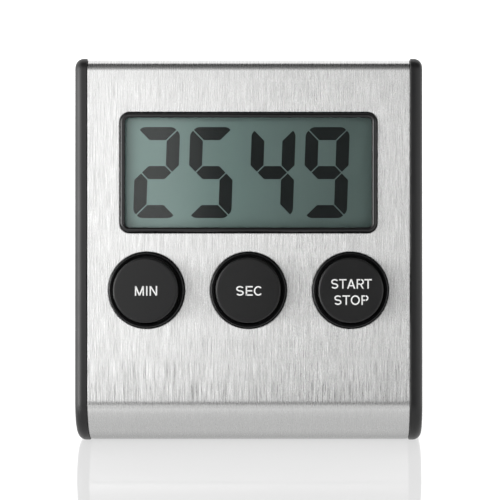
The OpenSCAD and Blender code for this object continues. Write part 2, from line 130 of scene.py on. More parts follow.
def arc(centre, radius, start, end, steps):
    """Points round a circle from one angle to another, in degrees."""
    angles = (math.radians(start + (end - start) * i / steps) for i in range(steps + 1))
    return [Vector((centre[0] + radius * math.cos(a), centre[1] + radius * math.sin(a))) for a in angles]


def circle_loop(centre, radius, steps=128):
    return arc(centre, radius, 0, 360, steps)[:-1]


def rounded_loop(centre, width, height, radius, steps=16):
    """A rounded rectangle's outline, anticlockwise."""
    points = []
    for quarter, (sx, sy) in enumerate(((1, 1), (-1, 1), (-1, -1), (1, -1))):
        corner = (
            centre[0] + sx * (width / 2 - radius),
            centre[1] + sy * (height / 2 - radius),
        )
        points += arc(corner, radius, 90 * quarter, 90 * quarter + 90, steps)
    return points


def ring(bm, loop, out):
    return [bm.verts.new((p[0], p[1], out)) for p in loop]


def ring_edges(bm, verts):
    return [bm.edges.get(pair) for pair in zip(verts, verts[1:] + verts[:1])]


def join_rings(bm, first, second):
    for i in range(len(first)):
        j = (i + 1) % len(first)
        bm.faces.new((first[i], first[j], second[j], second[i]))


def loft(bm, rings, closed_section=False):
    """Joins a row of rings, and closes the row on itself or fills its end rings."""
    for first, second in zip(rings, rings[1:]):
        join_rings(bm, first, second)
    if closed_section:
        join_rings(bm, rings[-1], rings[0])
    else:
        bm.faces.new(rings[0])
        bm.faces.new(rings[-1])


# Edges that turn by more than this many degrees are drawn sharp, or rounded off by soften()
SHARP_FROM = 35
SOFTEN_FROM = 40


def flat_faces_first(obj):
    """Shades large flat faces as flat, up to the rounding of their edges."""
    normals = obj.modifiers.new("flat_faces_first", "WEIGHTED_NORMAL")
    normals.weight = 100
    return normals


def piece(name, bm, material, body, replaces=(), matrix=None, weighted=False):
    """Makes an object of a bmesh, on a CAD body and in the given material."""
    bmesh.ops.recalc_face_normals(bm, faces=bm.faces)
    mesh = bpy.data.meshes.new(name)
    bm.to_mesh(mesh)
    bm.free()
    if matrix is not None:
        mesh.transform(matrix)
    mesh.materials.append(material)
    mesh.shade_smooth()
    mesh.set_sharp_from_angle(angle=math.radians(SHARP_FROM))
    obj = bpy.data.objects.new(name, mesh)
    bpy.context.scene.collection.objects.link(obj)
    if weighted:
        flat_faces_first(obj).keep_sharp = True
    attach(obj, body)
    if replaces:
        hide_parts(*replaces)
    return obj


def copy_of(node):
    """A bmesh of a CAD node with its flat faces whole again."""
    bm = bmesh.new()
    bm.from_mesh(frame["nodes"][node].data)
    bmesh.ops.remove_doubles(bm, verts=bm.verts, dist=0.002 * MM)
    bmesh.ops.dissolve_limit(bm, angle_limit=math.radians(0.5), verts=bm.verts, edges=bm.edges)
    return bm


def soften(obj, width):
    """Rounds the piece's sharp edges."""
    bevel = obj.modifiers.new("edge_rounding", "BEVEL")
    bevel.width = width
    bevel.segments = 3
    bevel.limit_method = "ANGLE"
    bevel.angle_limit = math.radians(SOFTEN_FROM)
    bevel.use_clamp_overlap = True
    flat_faces_first(obj)


# ---------------------------------------------------------------- materials


class Nodes:
    """A short way to build a material's node tree."""

    def __init__(self, name):
        self.material = bpy.data.materials.new(name)
        self.material.use_nodes = True
        self.tree = self.material.node_tree
        self.tree.nodes.clear()
        self.output = self.add("OutputMaterial")

    def add(self, kind, **settings):
        node = self.tree.nodes.new("ShaderNode" + kind)
        for key, value in settings.items():
            if hasattr(node, key):
                setattr(node, key, value)
            else:
                node.inputs[key].default_value = value
        return node

    def link(self, source, node, socket):
        self.tree.links.new(source, node.inputs[socket])

    def shader(self, **sockets):
        """The Principled shader, joined to the output. Underscores in names stand for spaces."""
        node = self.add("BsdfPrincipled")
        for key, value in sockets.items():
            node.inputs[key.replace("_", " ")].default_value = value
        self.link(node.outputs[0], self.output, "Surface")
        return node

    def coordinates(self, scale=(1, 1, 1), uv=False):
        place = self.add("Mapping")
        place.inputs["Scale"].default_value = scale
        source = self.add("TexCoord").outputs["UV" if uv else "Object"]
        self.link(source, place, "Vector")
        return place.outputs[0]

    def noise(self, vector, scale, detail=3.0, roughness=0.5):
        node = self.add("TexNoise", Scale=scale, Detail=detail, Roughness=roughness)
        self.link(vector, node, "Vector")
        return node.outputs["Fac"]

    def number(self, operation, first, second):
        node = self.add("Math", operation=operation)
        for value, socket in zip((first, second), node.inputs):
            if isinstance(value, float):
                socket.default_value = value
            else:
                self.tree.links.new(value, socket)
        return node.outputs[0]

    def vector(self, operation, first, second=None):
        node = self.add("VectorMath", operation=operation)
        self.link(first, node, 0)
        if second is not None:
            self.link(second, node, "Scale" if operation == "SCALE" else 1)
        return node.outputs[0]

    def vector_length(self, vector):
        node = self.add("VectorMath", operation="LENGTH")
        self.link(vector, node, 0)
        return node.outputs["Value"]

    def blend(self, first, second, share):
        """A mix of two numbers, with the second one's share."""
        node = self.add("Mix", data_type="FLOAT")
        node.inputs["Factor"].default_value = share
        self.link(first, node, 2)
        self.link(second, node, 3)
        return node.outputs[0]

    def between(self, value, low, high, start, end):
        """Goes from start to end as the value goes from low to high."""
        node = self.add("MapRange", interpolation_type="SMOOTHSTEP")
        self.link(value, node, 0)
        for socket, limit in zip(node.inputs[1:5], (low, high, start, end)):
            socket.default_value = limit
        return node.outputs[0]

    def ramp(self, value, low, high, at=(0.3, 0.7)):
        """Colours or greys between two stops."""
        node = self.add("ValToRGB")
        for stop, place, colour in zip(node.color_ramp.elements, at, (low, high)):
            stop.position = place
            stop.color = colour if hasattr(colour, "__len__") else (colour, colour, colour, 1)
        self.link(value, node, 0)
        return node.outputs["Color"]

    def bump(self, height, distance, strength=1.0):
        node = self.add("Bump", Distance=distance, Strength=strength)
        self.link(height, node, "Height")
        return node.outputs["Normal"]


def tint(colour, by):
    return tuple(c * by for c in colour[:3]) + (1,)


MOULD_GRAIN = 0.12 * MM
METAL_GRAIN = 0.08 * MM


def moulded(name, colour, roughness, depth=0.004 * MM, variation=0.12, specular=0.5):
    """Moulded plastic or rubber: fine spark-eroded grain, faint mottling and uneven gloss."""
    n = Nodes(name)
    at = n.coordinates()
    shader = n.shader(Specular_IOR_Level=specular)
    mottle = n.noise(at, 0.12 / MM, 4)
    fine = n.noise(at, 1 / MOULD_GRAIN, 2)
    n.link(n.ramp(mottle, tint(colour, 1 - variation), tint(colour, 1 + variation)), shader, "Base Color")
    n.link(n.ramp(mottle, roughness * 0.88, roughness * 1.12), shader, "Roughness")
    n.link(n.bump(fine, depth), shader, "Normal")
    return n.material


def drawn_metal(name, colour, roughness):
    """Plated or drawn metal with light handling marks."""
    n = Nodes(name)
    at = n.coordinates()
    shader = n.shader(Metallic=1.0)
    marks = n.noise(at, 1 / METAL_GRAIN, 3)
    stain = n.noise(at, 0.3 / MM, 3)
    n.link(n.ramp(stain, tint(colour, 0.9), tint(colour, 1.05)), shader, "Base Color")
    n.link(n.ramp(marks, roughness * 0.7, roughness * 1.3), shader, "Roughness")
    n.link(n.bump(marks, 0.001 * MM), shader, "Normal")
    return n.material


STEEL = (0.675, 0.675, 0.671)
LCD_GREEN = (0.5, 0.63, 0.615)


def brushed_steel():
    """Stainless sheet brushed up and down: reflections spread sideways, across the grain.

    The grain's map is in millimetres, with 0 up the sheet where the foot's bend ends."""
    n = Nodes("brushed_steel")
    shader = n.shader(Metallic=1.0, Anisotropic=1.0)

    def streaks(width, length, detail):
        return n.noise(n.coordinates((1 / width, 1 / length, 1), uv=True), 1.0, detail, 0.55)

    # The bends are worked less by the brush than the face
    apart = n.add("SeparateXYZ")
    n.link(n.coordinates(uv=True), apart, 0)
    worked = n.between(apart.outputs[1], -1.0, 0.3, 0.15, 1.0)
    mixed = n.blend(n.blend(streaks(0.1, 4.0, 1), streaks(0.22, 9.0, 1), 0.35), streaks(2.5, 30.0, 2), 0.1)
    grain = n.number("ADD", n.number("MULTIPLY", n.number("SUBTRACT", mixed, 0.5), worked), 0.5)
    hair = streaks(0.08, 2.0, 1)

    # ... and the underside of the foot is darker: painted shade, standing in for the shaded table under the timer
    # that the foot mirrors
    painted_foot_shade = n.between(apart.outputs[1], -12.0, -5.5, 0.4, 1.0)
    colour = n.ramp(grain, tint(STEEL, 0.8), tint(STEEL, 1.14), (0.37, 0.63))
    n.link(n.vector("SCALE", colour, painted_foot_shade), shader, "Base Color")
    n.link(n.ramp(hair, 0.25, 0.29), shader, "Roughness")

    # Each scratch tips the reflection a little up or down the sheet
    tangent = n.add("Tangent", direction_type="UV_MAP", uv_map="grain").outputs[0]
    n.link(tangent, shader, "Tangent")
    normal = n.bump(grain, 0.01 * MM, 0.5)
    along = n.vector("CROSS_PRODUCT", normal, tangent)
    tip = n.number("MULTIPLY", n.number("SUBTRACT", grain, 0.5), 0.2)
    tipped = n.vector("ADD", normal, n.vector("SCALE", along, tip))
    n.link(n.vector("NORMALIZE", tipped), shader, "Normal")
    return n.material


def clear_window():
    """Clear acrylic: what is behind shows through, and the surface mirrors by Fresnel."""
    n = Nodes("clear_window")
    mix = n.add("MixShader")
    fresnel = n.add("Fresnel", IOR=1.4)
    through = n.add("BsdfTransparent", Color=(0.96, 0.98, 0.97, 1))
    mirror = n.add("BsdfAnisotropic", Roughness=0.03)
    n.link(fresnel.outputs[0], mix, 0)
    n.link(through.outputs[0], mix, 1)
    n.link(mirror.outputs[0], mix, 2)
    n.link(mix.outputs[0], n.output, "Surface")
    return n.material


def lcd_film():
    """The display's grey-green reflective film, a little darker to the right: painted shade for the light from the
    left falling off.
    """
    n = Nodes("lcd_film")
    at = n.coordinates()
    shader = n.shader(Metallic=1.0, Roughness=0.74)
    apart = n.add("SeparateXYZ")
    n.link(at, apart, 0)
    # Painted shade: the film's colour darkens from left to right, as the light from the left falls off
    painted_light_falloff = n.between(apart.outputs[0], -BEZEL_W / 2, BEZEL_W / 2, 1.04, 0.54)
    cloud = n.ramp(n.noise(at, 0.05 / MM, 2), tint(LCD_GREEN, 0.96), tint(LCD_GREEN, 1.04))
    n.link(n.vector("SCALE", cloud, painted_light_falloff), shader, "Base Color")
    n.link(n.bump(n.noise(at, 12 / MM, 2), 0.001 * MM), shader, "Normal")
    return n.material


def battery_wrap():
    """A printed foil sleeve: black, with a copper-coloured end by the terminal."""
    n = Nodes("battery_label")
    at = n.coordinates()
    shader = n.shader(Roughness=0.28)
    apart = n.add("SeparateXYZ")
    n.link(at, apart, 0)
    band = n.between(apart.outputs[0], 9.9 * MM, 10.0 * MM, 0.0, 1.0)
    foil = n.ramp(n.noise(at, 0.4 / MM, 3), (0.5, 0.21, 0.06, 1), (0.58, 0.26, 0.08, 1))
    sleeve = n.ramp(n.noise(at, 0.4 / MM, 3), 0.012, 0.018)
    mix = n.add("MixRGB")
    n.link(band, mix, 0)
    n.link(sleeve, mix, 1)
    n.link(foil, mix, 2)
    n.link(mix.outputs[0], shader, "Base Color")
    n.link(n.number("MULTIPLY", band, 0.8), shader, "Metallic")
    n.link(n.bump(n.noise(at, 3 / MM, 2), 0.004 * MM), shader, "Normal")
    return n.material


MATERIALS = {
    "steel_sheet": brushed_steel(),
    "side_panel_plastic": moulded("side_panel_plastic", (0.006, 0.006, 0.0063), 0.36, depth=0.006 * MM),
    "bezel_plastic": moulded("bezel_plastic", (0.006, 0.006, 0.0065), 0.2, depth=0.001 * MM),
    "button_plastic": moulded(
        "button_plastic", (0.005, 0.005, 0.0053), 0.38, depth=0.003 * MM, specular=0.42
    ),
    "window": clear_window(),
    "lcd_face": lcd_film(),
    "lcd_glass": moulded("lcd_glass", (0.3, 0.34, 0.32), 0.15),
    "lcd_back": moulded("lcd_back", (0.5, 0.53, 0.5), 0.3),
    "white_plastic": moulded("white_plastic", (0.72, 0.72, 0.7), 0.5),
    "conductive_rubber": moulded("conductive_rubber", (0.03, 0.03, 0.033), 0.7),
    "circuit_board": moulded("circuit_board", (0.03, 0.16, 0.06), 0.35, variation=0.25),
    "epoxy": moulded("epoxy", (0.012, 0.012, 0.013), 0.15),
    "component_metal": drawn_metal("component_metal", (0.8, 0.8, 0.8), 0.25),
    "component_black": moulded("component_black", (0.025, 0.025, 0.025), 0.5),
    "component_tan": moulded("component_tan", (0.42, 0.3, 0.17), 0.4),
    "copper_winding": drawn_metal("copper_winding", (0.7, 0.3, 0.14), 0.3),
    "screw_steel": drawn_metal("screw_steel", (0.62, 0.62, 0.64), 0.3),
    "silicone": moulded("silicone", (0.18, 0.18, 0.195), 0.6),
    "battery_label": battery_wrap(),
    "plated_contact": drawn_metal("plated_contact", (0.72, 0.7, 0.66), 0.28),
    "red_insulation": moulded("red_insulation", (0.4, 0.02, 0.02), 0.45),
    "black_insulation": moulded("black_insulation", (0.015, 0.015, 0.015), 0.45),
    "sounder_brass": drawn_metal("sounder_brass", (0.78, 0.58, 0.25), 0.3),
    "ceramic_disc": moulded("ceramic_disc", (0.68, 0.66, 0.6), 0.4),
    "magnet": drawn_metal("magnet", (0.16, 0.16, 0.17), 0.45),
    "white_print": moulded("white_print", (0.95, 0.95, 0.94), 0.5, depth=0.001 * MM, variation=0.03),
    "lcd_ink": moulded(
        "lcd_ink", (0.006, 0.0095, 0.0105), 0.5, depth=0.0003 * MM, variation=0.05, specular=0.2
    ),
}
SLOT_OF = {s["node"]: s["material_slot"] for s in frame["record"]["subparts"]}


# ---------------------------------------------------------------- steel front


def along_steel():
    """Rows up the steel, from the rear of the foot, over the face, to the rear of the top.

    Each row is (distance along the sheet, a point on its outer face, the outward normal).
    The second value returned is the number of the row where the flat face starts."""
    rows = []

    def bend(centre, radius, start, end, steps):
        """Rows round a bend, between two turns from facing straight down."""
        first = rows[-1][0]
        for i in range(1, steps + 1):
            turn = start + (end - start) * i / steps
            normal = Matrix.Rotation(-turn, 3, "X") @ Vector((0, 0, -1))
            rows.append((first + radius * (turn - start), centre + radius * normal, normal))

    def straight(point):
        s, last, normal = rows[-1]
        rows.append((s + (point - last).length, point, normal))

    face_turn = math.pi / 2 + LEAN
    sink = (SHOULDER_R - FOOT_R) * (1 - math.cos(SHOULDER_TURN))
    foot_c = FOOT_C + Vector((0, sink / math.cos(LEAN), 0))
    rows.append((0.0, Vector((0, SHELL_END_Y, foot_c.z - FOOT_R)), Vector((0, 0, -1))))
    straight(foot_c - Vector((0, 0, FOOT_R)))
    bend(foot_c, FOOT_R, 0, face_turn - SHOULDER_TURN, 40)
    point, normal = rows[-1][1:]
    bend(point - SHOULDER_R * normal, SHOULDER_R, face_turn - SHOULDER_TURN, face_turn, 8)
    face_row = len(rows) - 1
    top_c = TOP_C + (TOP_BEND_R - TOP_R) * (INWARD - UP)
    straight(top_c + TOP_BEND_R * OUTWARD)
    bend(top_c, TOP_BEND_R, face_turn, face_turn + math.pi / 2, 20)
    point = rows[-1][1]
    straight(point + (SHELL_END_Y - point.y) / INWARD.y * INWARD)
    return rows, face_row


# A punched or sheared edge: (distance in from the edge, depth) from the flat face to the cut
EDGE_ROLL = 0.2 * MM
EDGE_DROP = 0.13 * MM
EDGE_FLAT = 0.1 * MM
EDGE_PROFILE = [(EDGE_ROLL + EDGE_FLAT, 0.0)]
EDGE_PROFILE += [
    (EDGE_ROLL * (1 - math.sin(a)), EDGE_DROP * (1 - math.cos(a)))
    for a in (math.pi / 2 * i / 5 for i in range(6))
]
EDGE_PROFILE += [(0.0, SHEET_T)]


def steel_front():
    """The bent sheet, with its cut edges rolled over a little."""
    right = [(SHELL_HALF_W - inward, depth) for inward, depth in EDGE_PROFILE]
    section = [(-x, d) for x, d in reversed(right)] + right
    count = len(section)
    # The outer face lies between these two places in the section
    left_top, right_top = count // 2 - 1, count // 2
    rows, face_row = along_steel()
    bm = bmesh.new()
    place = {}
    grid = []
    for s, point, normal in rows:
        line = []
        for x, depth in section:
            vert = bm.verts.new(point + Vector((x, 0, 0)) - normal * depth)
            place[vert] = (x, s)
            line.append(vert)
        grid.append(line)
    for r, (first, second) in enumerate(zip(grid, grid[1:])):
        for k in range(count):
            # The flat face has holes, so it is filled further down
            if r == face_row and k in (left_top, count - 1):
                continue
            j = (k + 1) % count
            bm.faces.new((first[k], first[j], second[j], second[k]))
    bm.faces.new(grid[0])
    bm.faces.new(grid[-1])

    def bezel_hole(grow):
        grow += SLACK
        return rounded_loop(DISPLAY_AT, BEZEL_W + 2 * grow, BEZEL_H + 2 * grow, BEZEL_R + grow)

    def collar_hole(key):
        return lambda grow: circle_loop(BUTTON_AT[key], COLLAR_R + SLACK + grow)

    face_s = rows[face_row][0] - (FACE.inverted() @ rows[face_row][1]).y
    outer_edges, inner_edges = [], []
    for hole in [bezel_hole] + [collar_hole(key) for key in KEYS]:
        rings = []
        for grow, depth in EDGE_PROFILE:
            line = []
            for p in hole(grow):
                vert = bm.verts.new(FACE @ Vector((p[0], p[1], -depth)))
                place[vert] = (p[0], face_s + p[1])
                line.append(vert)
            rings.append(line)
        for first, second in zip(rings, rings[1:]):
            join_rings(bm, first, second)
        outer_edges += ring_edges(bm, rings[0])
        inner_edges += ring_edges(bm, rings[-1])
    low, high = grid[face_row], grid[face_row + 1]
    for edges, a, b in ((outer_edges, left_top, right_top), (inner_edges, 0, count - 1)):
        for first, second in ((low[a], low[b]), (high[a], high[b]), (low[a], high[a]), (low[b], high[b])):
            edges.append(bm.edges.get((first, second)) or bm.edges.new((first, second)))
        bmesh.ops.triangle_fill(bm, edges=edges, use_beauty=True)
    uv = bm.loops.layers.uv.new("grain")
    for face in bm.faces:
        for loop in face.loops:
            x, s = place[loop.vert]
            loop[uv].uv = (x / MM, (s - face_s) / MM)
    return piece("steel_front", bm, MATERIALS["steel_sheet"], "case", ["front_shell"])


steel_front()

# ---------------------------------------------------------------- side panels


def side_outline(grow, back_y):
    """The side profile as (y, z), grown all round by grow, with its rear wall at back_y."""
    r = max(REAR_CORNER_R - PANEL_LIP + grow, 0.05 * MM)
    low = FOOT_C.z - FOOT_R - grow
    lean = math.degrees(LEAN)
    top = TOP_R + grow
    y = back_y - r
    z = TOP_C.z + (top - r - (y - TOP_C.y) * math.sin(LEAN)) / math.cos(LEAN)
    return (
        arc((FOOT_C.y, FOOT_C.z), FOOT_R + grow, 180 - lean, 270, 44)
        + arc((y, low + r), r, 270, 360, 14)
        + arc((y, z), r, 0, 90 - lean, 14)
        + arc((TOP_C.y, TOP_C.z), top, 90 - lean, 180 - lean, 20)
    )


def side_panel(name, side):
    """An end plate with a round outer edge and a small chamfer against the steel."""
    chamfer = 0.12 * MM
    steps = 10
    inner_x = panel_high.x - PANEL_T
    edge_x = panel_high.x - PANEL_EDGE_R
    sections = [(inner_x, chamfer), (inner_x + chamfer, 0)]
    for i in range(steps + 1):
        a = math.pi / 2 * i / steps
        sections.append((edge_x + PANEL_EDGE_R * math.sin(a), PANEL_EDGE_R * (1 - math.cos(a))))
    bm = bmesh.new()
    rings = []
    for x, inset in sections:
        outline = side_outline(PANEL_LIP - inset, REAR_Y - inset)
        rings.append([bm.verts.new((side * x, p[0], p[1])) for p in outline])
    loft(bm, rings)
    return piece(name, bm, MATERIALS["side_panel_plastic"], "case",
                 [name.replace("_moulding", "")], weighted=True)


side_panel("left_side_panel_moulding", -1)
side_panel("right_side_panel_moulding", 1)

# ---------------------------------------------------------------- front frame


def rim(bm, loop_at, section):
    """A raised ring. loop_at gives its outline at a distance in from the edge, and the
    section is its crest as (distance in, height)."""
    foot = -SHEET_T - 0.02 * MM
    width = section[-1][0]
    closed = [(0.0, foot)] + section + [(width, foot)]
    loft(bm, [ring(bm, loop_at(t), out) for t, out in closed], closed_section=True)


def domed_section(width, low, rise, steps=14):
    """A half-round crest between two walls."""
    return [(width / 2 - p.x, low + p.y * (rise - low) / (width / 2))
            for p in arc((0, 0), width / 2, 0, 180, steps)]


def funnel_section(width, rise, drop, edge_r):
    """A crest at the outer edge that slopes down inwards."""
    outer = [(edge_r + p.x, rise - edge_r + p.y) for p in arc((0, 0), edge_r, 180, 65, 8)]
    inner = [(width - edge_r + p.x, rise - drop - edge_r + p.y) for p in arc((0, 0), edge_r, 65, 0, 6)]
    return outer + inner


def front_frame():
    """The CAD frame behind the steel, with finer rims where it shows through."""
    bm = copy_of("front_frame")
    bm.transform(FACE.inverted())
    cut = bmesh.ops.bisect_plane(
        bm,
        geom=bm.verts[:] + bm.edges[:] + bm.faces[:],
        plane_co=(0, 0, -SHEET_T + 0.001 * MM),
        plane_no=(0, 0, 1),
        clear_outer=True,
    )["geom_cut"]
    bmesh.ops.triangle_fill(bm, edges=[e for e in cut if isinstance(e, bmesh.types.BMEdge)])
    rim(bm, lambda t: rounded_loop(DISPLAY_AT, BEZEL_W - 2 * t, BEZEL_H - 2 * t, BEZEL_R - t),
        domed_section(BEZEL_RIM, BEZEL_WALL, BEZEL_RISE))
    for key in KEYS:
        rim(bm, lambda t, at=BUTTON_AT[key]: circle_loop(at, COLLAR_R - t),
            funnel_section(COLLAR_R - COLLAR_BORE_R, COLLAR_RISE, COLLAR_DROP, COLLAR_EDGE_R))
    return piece("front_frame_moulding", bm, MATERIALS["bezel_plastic"], "case",
                 ["front_frame"], FACE)


front_frame()

# ---------------------------------------------------------------- buttons


def lathe(bm, profile, centre, steps=128):
    """Turns (radius, out) points round a centre. A radius of 0 closes the end with a fan."""
    rings = []
    for radius, out in profile:
        if radius:
            rings.append(ring(bm, circle_loop(centre, radius, steps), out))
        else:
            rings.append([bm.verts.new((centre[0], centre[1], out))])
    for first, second in zip(rings, rings[1:]):
        if len(first) == 1 or len(second) == 1:
            point, loop = (first[0], second) if len(first) == 1 else (second[0], first)
            for i in range(steps):
                bm.faces.new((point, loop[i], loop[(i + 1) % steps]))
        else:
            join_rings(bm, first, second)


# A cap's flange, hollow and stem: radii, and heights over the steel's face
FLANGE_R = 6.8 * MM
FLANGE_TOP = -2.1 * MM
FLANGE_FOOT = -2.9 * MM
FLANGE_FLAT = 5.9 * MM
HOLLOW_R = 4.8 * MM
HOLLOW_TOP = 1.8 * MM
STEM_R = 2.0 * MM
STEM_FOOT = -3.85 * MM


def button(key):
    """A hollow cap with a rounded rim, a faint crown, a retaining flange and a stem."""
    edge = 0.32 * MM
    crown = 0.04 * MM
    at = BUTTON_AT[key]
    profile = [(0, CAP_RISE)]
    profile += [(r * CAP_R, CAP_RISE - crown * (r / 0.92) ** 2) for r in (0.3, 0.6, 0.8, 0.9)]
    profile += [tuple(p) for p in arc((CAP_R - edge, CAP_RISE - crown - edge), edge, 88, 0, 8)]
    profile += [
        (CAP_R, FLANGE_TOP), (FLANGE_R, FLANGE_TOP), (FLANGE_R, FLANGE_FOOT), (HOLLOW_R, FLANGE_FOOT),
        (HOLLOW_R, HOLLOW_TOP), (STEM_R, HOLLOW_TOP), (STEM_R, STEM_FOOT), (0, STEM_FOOT),
    ]
    bm = bmesh.new()
    lathe(bm, profile, at)
    # The flange has a flat below, which keeps the cap from turning
    flat = at[1] - FLANGE_FLAT
    for vert in bm.verts:
        if vert.co.y < flat and (vert.co.xy - at).length > (CAP_R + FLANGE_R) / 2:
            vert.co.y = flat
    return piece(key + "_cap", bm, MATERIALS["button_plastic"], key + "_key",
                 [key + "_button"], FACE)


# ---------------------------------------------------------------- legends

# Plain capitals on a cell 1 high, each made of overlapping strokes
STROKE = 0.14
CAPITAL_H = 1.78 * MM
# The print reaches this far over and under the cap's crown
PRINT_T = 0.012 * MM


def bar(x0, y0, x1, y1):
    return [Vector(p) for p in ((x0, y0), (x1, y0), (x1, y1), (x0, y1))]


def slant(foot_x, head_x, width, low=0.0, high=1.0):
    """A diagonal stroke with level ends."""
    corners = ((foot_x, low), (foot_x + width, low), (head_x + width, high), (head_x, high))
    return [Vector(p) for p in corners]


def band(x0, y0, x1, y1, start, end, steps=20):
    """A stroke round part of the ellipse that fills a box, between two angles in degrees."""
    centre = Vector(((x0 + x1) / 2, (y0 + y1) / 2))
    angles = [math.radians(start + (end - start) * i / steps) for i in range(steps + 1)]

    def round_it(inset):
        rx, ry = (x1 - x0) / 2 - inset, (y1 - y0) / 2 - inset
        return [centre + Vector((rx * math.cos(a), ry * math.sin(a))) for a in angles]

    return round_it(0) + round_it(STROKE)[::-1]


def capital(name):
    """The width of a capital and its strokes."""
    t = STROKE
    wide = 1.15 * t
    waist = 0.5 + t / 2
    if name == "I":
        return t, [bar(0, 0, t, 1)]
    if name == "T":
        w = 0.8
        return w, [bar(0, 1 - t, w, 1), bar((w - t) / 2, 0, (w + t) / 2, 1)]
    if name == "E":
        w = 0.7
        arms = ((w, 0), (w - 0.04, 0.44), (w, 1 - t))
        return w, [bar(0, 0, t, 1)] + [bar(0, y, x, y + t) for x, y in arms]
    if name == "N":
        w = 0.78
        return w, [bar(0, 0, t, 1), bar(w - t, 0, w, 1), slant(w - wide, 0, wide)]
    if name == "M":
        w = 0.94
        middle_x = (w - wide) / 2
        valley = [slant(middle_x, 0, wide), slant(middle_x, w - wide, wide)]
        return w, [bar(0, 0, t, 1), bar(w - t, 0, w, 1)] + valley
    if name == "A":
        w = 0.9
        middle_x = (w - wide) / 2
        legs = [slant(0, middle_x, wide), slant(w - wide, middle_x, wide)]
        return w, legs + [bar(0.2, 0.25, w - 0.2, 0.25 + t * 0.9)]
    if name == "C":
        w = 0.88
        return w, [band(0, 0, w, 1, 42, 318)]
    if name == "O":
        w = 0.96
        return w, [band(0, 0, w, 1, 90, 270), band(0, 0, w, 1, -90, 90)]
    if name == "S":
        w = 0.76
        return w, [band(0, 1 - waist, w, 1, 25, 272), band(0, 0, w, waist, 92, -155)]
    # P and R share a post and a bowl
    w = 0.74 if name == "P" else 0.78
    bowl_low = 0.42
    bend_x = w - (1 - bowl_low)
    strokes = [bar(0, 0, t, 1), bar(0, 1 - t, w / 2, 1), bar(0, bowl_low, w / 2, bowl_low + t),
               band(bend_x, bowl_low, w, 1, -91, 91)]
    if name == "R":
        strokes.append(slant(w - wide, 0.42 * w, wide, 0, bowl_low + t / 2))
    return w, strokes


# Room that a capital keeps on its left and right
LETTER_ROOM = {
    "I": (0.12, 0.12), "M": (0.11, 0.11), "N": (0.11, 0.11), "E": (0.12, 0.05), "S": (0.07, 0.07),
    "C": (0.06, 0.04), "T": (0.03, 0.03), "A": (0.02, 0.02), "R": (0.12, 0.03), "O": (0.05, 0.05),
    "P": (0.12, 0.05),
}


def legend(name, word, width, height, centre, body):
    """A word printed on a cap, fitted to a width and a cap height."""
    strokes = []
    x = 0.0
    for i, name_of_letter in enumerate(word):
        room_left, room_right = LETTER_ROOM[name_of_letter]
        letter_w, pieces = capital(name_of_letter)
        x += room_left if i else 0.0
        strokes += [[p + Vector((x, 0)) for p in outline] for outline in pieces]
        x += letter_w + (room_right if i < len(word) - 1 else 0.0)
    bm = bmesh.new()
    for outline in strokes:
        flat = [
            Vector((centre.x + (p.x / x - 0.5) * width, centre.y + (p.y - 0.5) * height))
            for p in outline
        ]
        loft(bm, [ring(bm, flat, CAP_RISE - PRINT_T), ring(bm, flat, CAP_RISE + PRINT_T)])
    return piece(name, bm, MATERIALS["white_print"], body, matrix=FACE)


for key in KEYS:
    button(key)
# Each word's button, its width, and how far its middle lies from the button's, in millimetres
for word, key, width, dx, dy in (
    ("MIN", "min", 4.1, 0.13, -0.09),
    ("SEC", "sec", 4.9, 0.24, -0.09),
    ("START", "start", 7.5, 0.11, 1.2),
    ("STOP", "start", 6.3, 0.09, -1.8),
):
    at = BUTTON_AT[key] + Vector((dx, dy)) * MM
    legend(word.lower() + "_legend", word, width * MM, CAPITAL_H, at, key + "_key")

# ---------------------------------------------------------------- display


def pane(name, node, material, edge):
    """A thin flat part of the display with its edges broken."""
    bm = copy_of(node)
    bmesh.ops.bevel(bm, geom=bm.edges[:], offset=edge, segments=2, affect="EDGES", profile=0.5)
    return piece(name, bm, material, "case", [node], weighted=True)


pane("clear_window", "display_window", MATERIALS["window"], 0.1 * MM)
pane("lcd_face", "lcd_front_polariser", MATERIALS["lcd_face"], 0.03 * MM)

DIGIT_W = 8.25 * MM
DIGIT_H = 17.05 * MM
SEGMENT_T = 2.44 * MM
DIGIT_R = 1.8 * MM
DIGIT_GAP = 0.22 * MM
DIGIT_SLANT = math.tan(math.radians(2.0))
DIGIT_LIFT = 0.1 * MM
DIGIT_XS = (-17.3 * MM, -7.14 * MM, 4.38 * MM, 14.51 * MM)
INK_T = 0.02 * MM
LIT = {"2": "abged", "5": "afgcd", "4": "fgbc", "9": "abcdfg"}


def segments():
    """The seven segments of one digit as outlines round its middle."""
    w, h, t, r = DIGIT_W / 2, DIGIT_H / 2, SEGMENT_T, DIGIT_R
    s = DIGIT_GAP / math.sqrt(2)
    half_bar = [Vector((-w + t + s, h - t))]
    half_bar += [p + Vector((s, 0)) * (1 - i / 5) for i, p in enumerate(arc((-w + r, h - r), r, 135, 90, 5))]
    top = half_bar + [Vector((-p.x, p.y)) for p in reversed(half_bar)]
    post = [p + Vector((0, -s)) * (1 - i / 5) for i, p in enumerate(arc((-w + r, h - r), r, 135, 180, 5))]
    post += [Vector((-w, t / 2 + s)), Vector((-w + t / 2, s)), Vector((-w + t, t / 2 + s)),
             Vector((-w + t, h - t - s))]
    middle_bar = [Vector((sx * x, sy * y)) for sx, sy, x, y in (
        (-1, 0, w - t / 2 - s, 0), (-1, 1, w - t - s, t / 2), (1, 1, w - t - s, t / 2),
        (1, 0, w - t / 2 - s, 0), (1, -1, w - t - s, t / 2), (-1, -1, w - t - s, t / 2))]

    def flip(points, fx, fy):
        return [Vector((fx * p.x, fy * p.y)) for p in points]

    return {"a": top, "d": flip(top, 1, -1), "f": post, "b": flip(post, -1, 1),
            "e": flip(post, 1, -1), "c": flip(post, -1, -1), "g": middle_bar}


